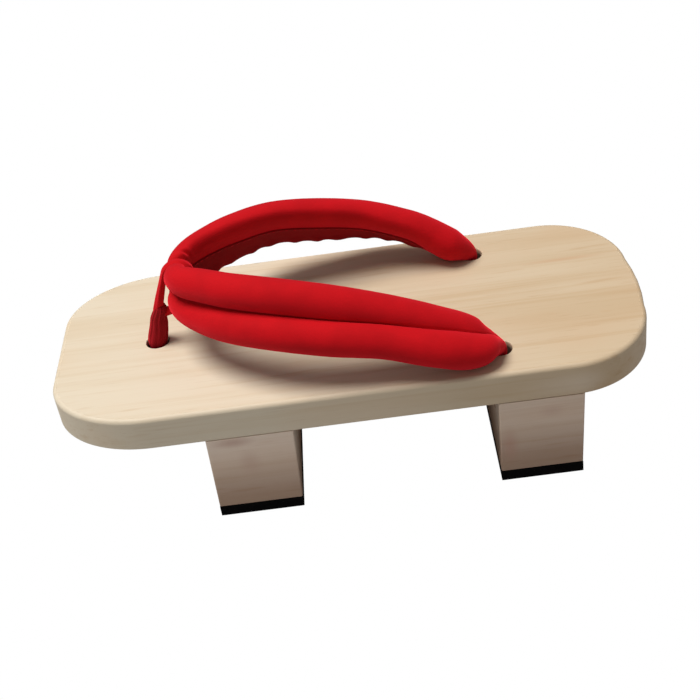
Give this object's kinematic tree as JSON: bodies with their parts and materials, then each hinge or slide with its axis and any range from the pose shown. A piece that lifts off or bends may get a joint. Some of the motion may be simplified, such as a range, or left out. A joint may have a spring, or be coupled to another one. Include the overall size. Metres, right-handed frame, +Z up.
{
  "type": "geta sandal",
  "caption": "Wooden sandal with a rounded flat foot board on cross teeth with rubber treads, and a padded cloth thong strap held by a toe cord.",
  "frame": {"origin": "on the floor, under the middle of the foot board", "axes": "+X toward the toe, +Y to the wearer's left, +Z up"},
  "size_m": [0.24, 0.1042, 0.097],
  "materials": {
    "wood": "bare, sanded smooth",
    "rubber": "matte",
    "strap_cloth": "soft matte nap",
    "cord_cloth": "soft matte nap"
  },
  "bodies": {
    "root": {"board": "wood", "tooth_front": "wood", "tooth_rear": "wood", "tread_front": "rubber", "tread_rear": "rubber", "strap": "strap_cloth", "toe_loop": "cord_cloth"}
  },
  "joints": []
}
